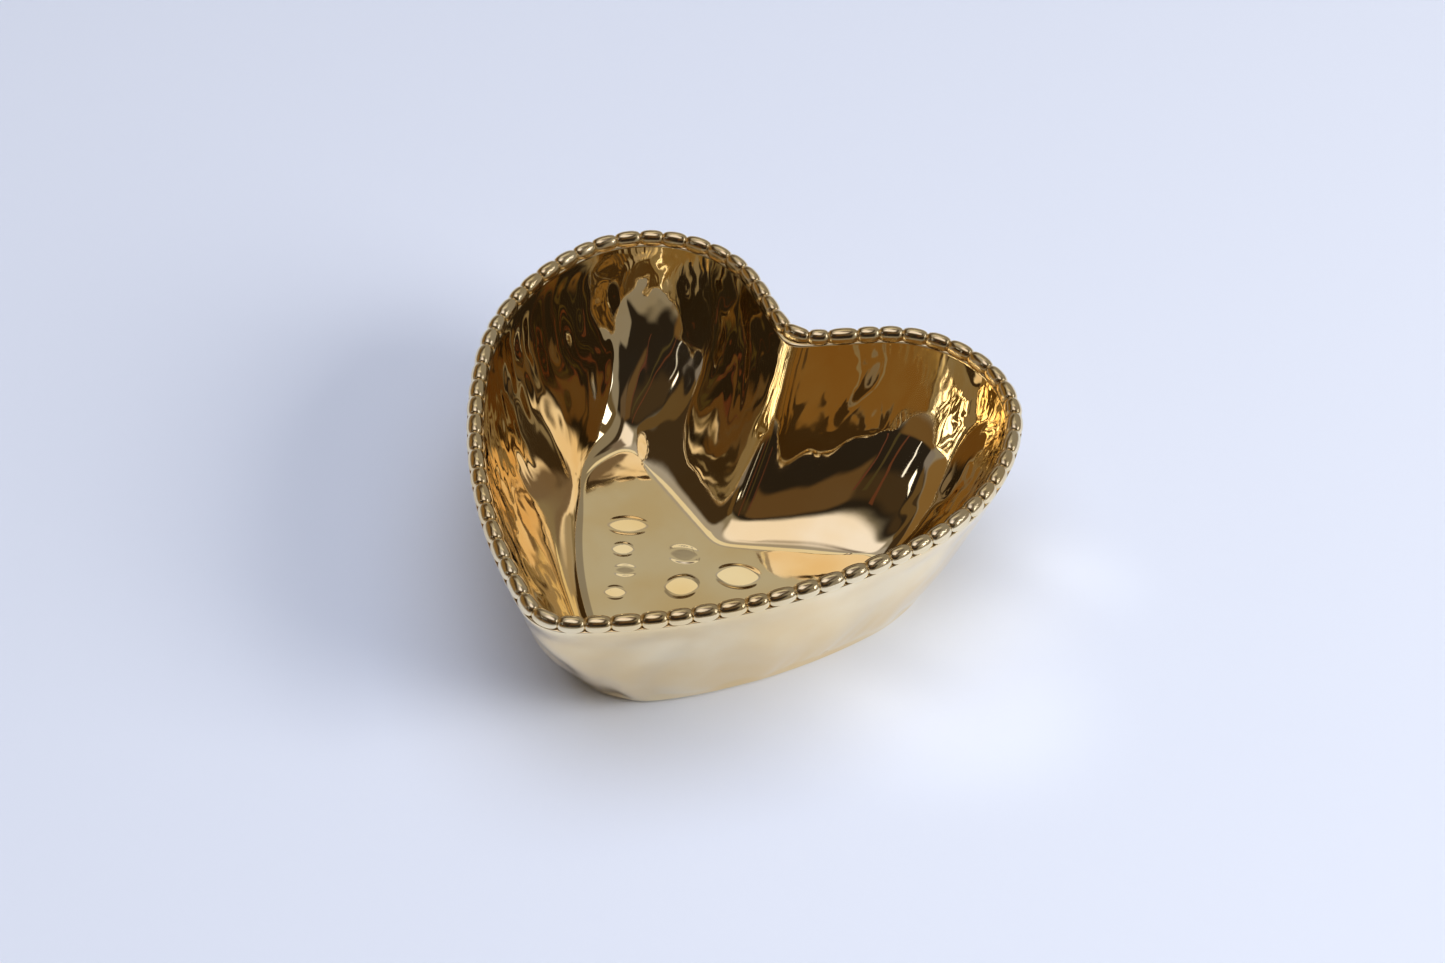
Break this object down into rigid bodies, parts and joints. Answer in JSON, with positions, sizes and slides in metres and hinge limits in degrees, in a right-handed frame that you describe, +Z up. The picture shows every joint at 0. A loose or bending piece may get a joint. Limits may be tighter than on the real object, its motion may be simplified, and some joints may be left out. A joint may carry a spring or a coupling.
{
  "type": "heart-shaped trinket dish",
  "caption": "Open heart-shaped trinket dish with a leaning wall, a widely coved floor and a beaded rim, in gold-lustred porcelain.",
  "frame": {"origin": "middle of the bounding box, on the surface that the dish stands on", "axes": "+Z up, -Y towards the point of the heart, +X towards the right lobe as seen from the point"},
  "size_m": [0.1518, 0.1504, 0.054],
  "materials": {
    "gold_lustre": "mirror-bright gold lustre fired over the glaze",
    "bare_porcelain": "unglazed, rubbed smooth"
  },
  "bodies": {
    "root": {"bowl_body": "gold_lustre", "right_bead_string": "gold_lustre", "left_bead_string": "gold_lustre", "notch_bead": "gold_lustre", "tip_bead": "gold_lustre", "foot_ring": "bare_porcelain"}
  },
  "joints": []
}
